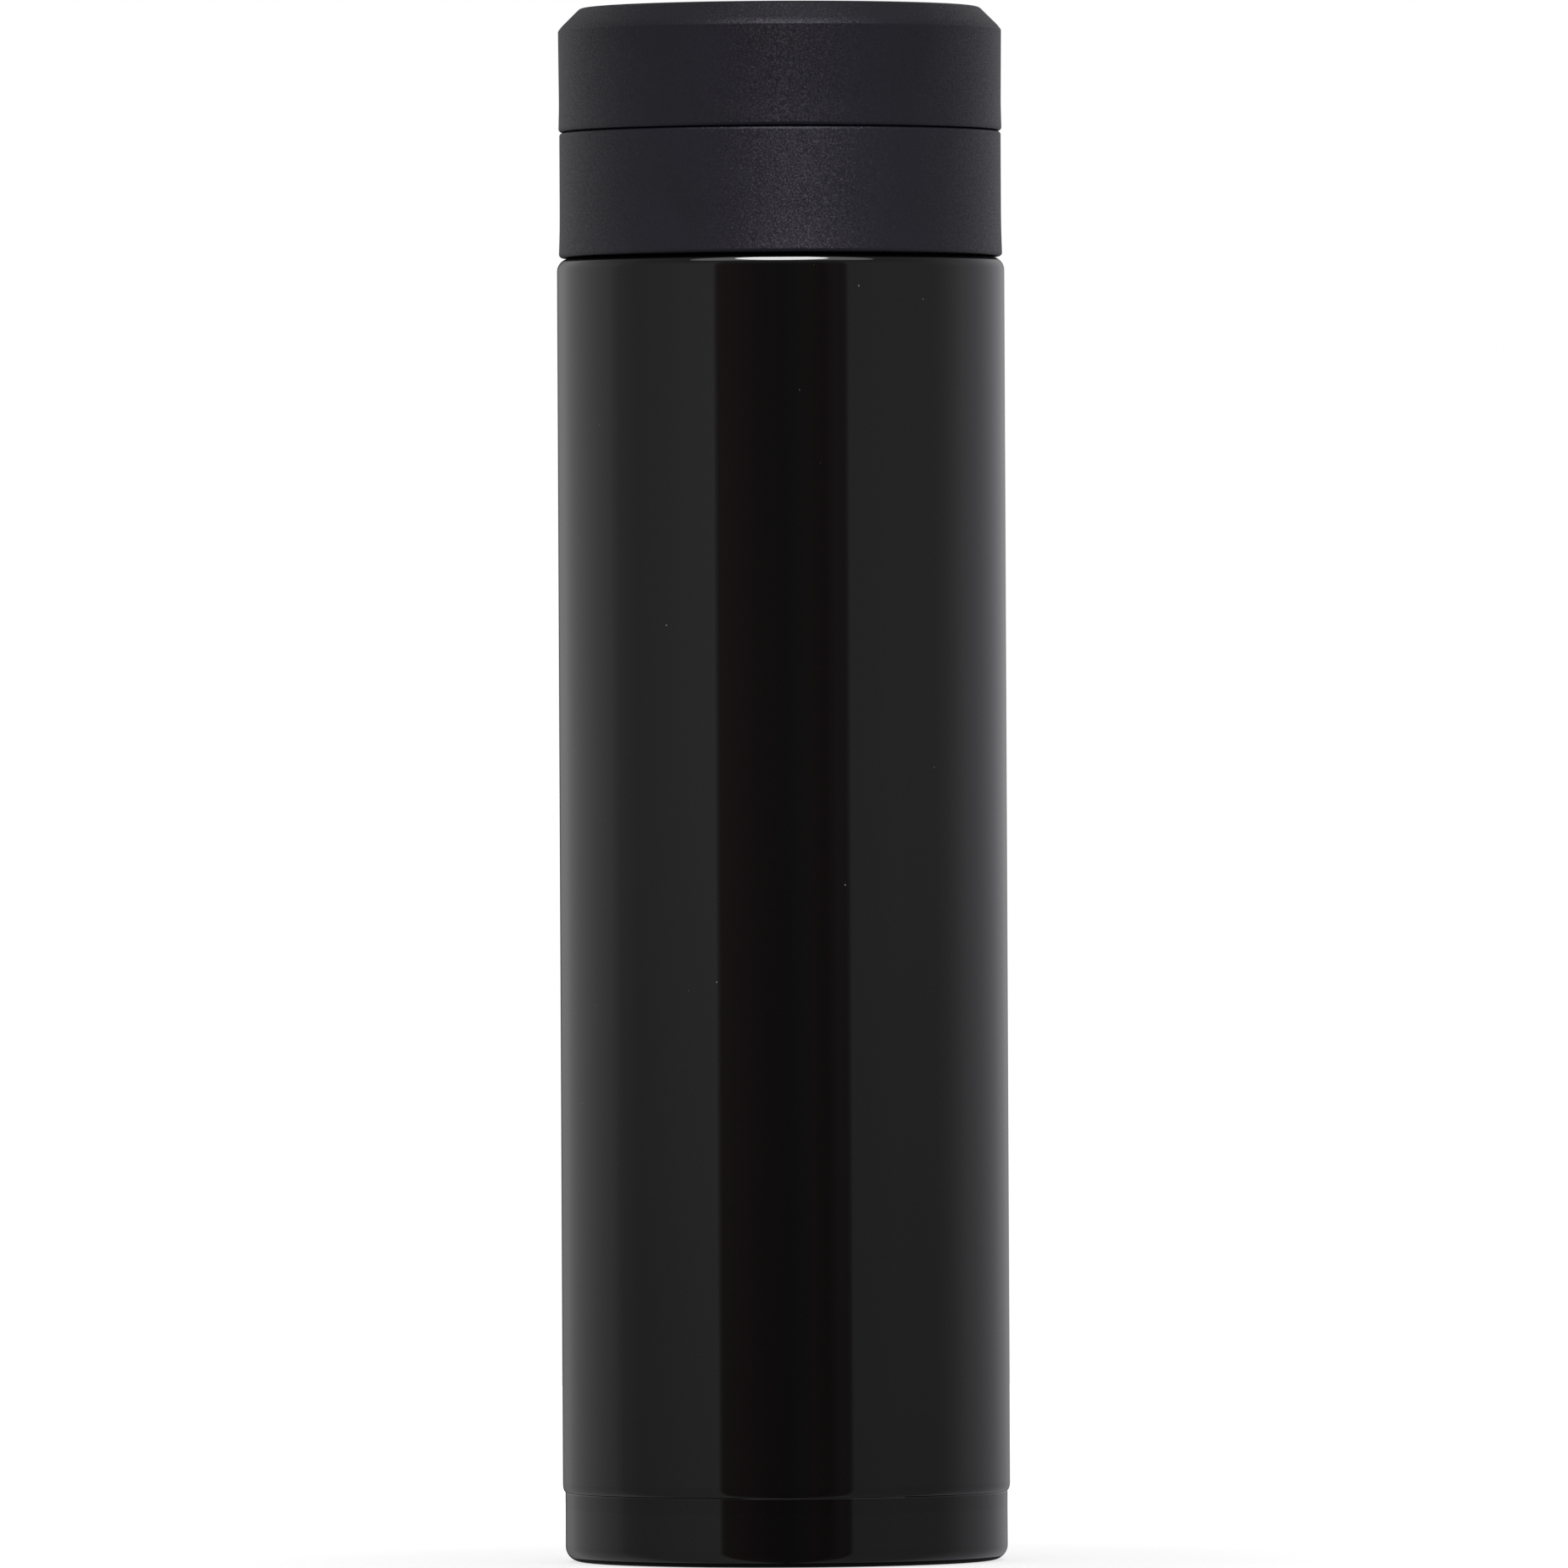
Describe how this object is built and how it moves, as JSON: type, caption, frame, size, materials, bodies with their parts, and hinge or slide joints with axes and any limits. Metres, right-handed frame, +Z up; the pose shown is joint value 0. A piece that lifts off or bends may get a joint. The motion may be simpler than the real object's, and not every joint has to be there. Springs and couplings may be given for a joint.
{
  "type": "vacuum flask",
  "caption": "Slim straight double-walled vacuum flask: gloss black steel body with a base cup, matt black screw cap with a chamfered top, and a screw-on drinking collar.",
  "frame": {"origin": "centre of the base, on the surface the flask stands on", "axes": "+Z up along the flask's axis; the flask is turned about it"},
  "size_m": [0.065, 0.065, 0.2256],
  "materials": {
    "matt_black_plastic": "fine moulded grain, soft matt",
    "black_polypropylene": "smooth moulded, satin",
    "expanded_foam": "beaded",
    "silicone": "moulded, matt",
    "black_enamel": "baked gloss coat",
    "stainless_steel": "electropolished and turned",
    "getter_alloy": "pressed powder",
    "braze": "run and set",
    "copper": "bright foil"
  },
  "bodies": {
    "flask": {"outer_shell": "black_enamel", "inner_vessel": "stainless_steel", "inner_bottom": "stainless_steel", "outer_bottom": "stainless_steel", "base_cup": "black_enamel", "sealing_bead": "braze", "copper_foil": "copper", "getter": "getter_alloy", "getter_clip": "stainless_steel"},
    "collar_seal": {"collar_gasket": "silicone"},
    "collar": {"spout": "black_polypropylene", "collar_band": "matt_black_plastic"},
    "cap_seal": {"cap_gasket": "silicone"},
    "cap": {"cap_shell": "matt_black_plastic", "cap_liner": "black_polypropylene", "cap_foam": "expanded_foam"}
  },
  "joints": [
    {"name": "collar_lift", "type": "slide", "parent": "flask", "child": "collar_seal", "axis": [0, 0, 1], "range_m": [0, 0.014]},
    {"name": "collar_turn", "type": "hinge", "parent": "collar_seal", "child": "collar", "pos_m": [0, 0, 0.2016], "axis": [0, 0, 1], "range_deg": [0, 1260]},
    {"name": "cap_lift", "type": "slide", "parent": "collar", "child": "cap_seal", "axis": [0, 0, 1], "range_m": [0, 0.018]},
    {"name": "cap_turn", "type": "hinge", "parent": "cap_seal", "child": "cap", "pos_m": [0, 0, 0.218], "axis": [0, 0, 1], "range_deg": [0, 810]}
  ],
  "couplings": [
    {"joint": "collar_lift", "follows": "collar_turn", "m_per_rad": 0.00063662},
    {"joint": "cap_lift", "follows": "cap_turn", "m_per_rad": 0.0012732}
  ]
}
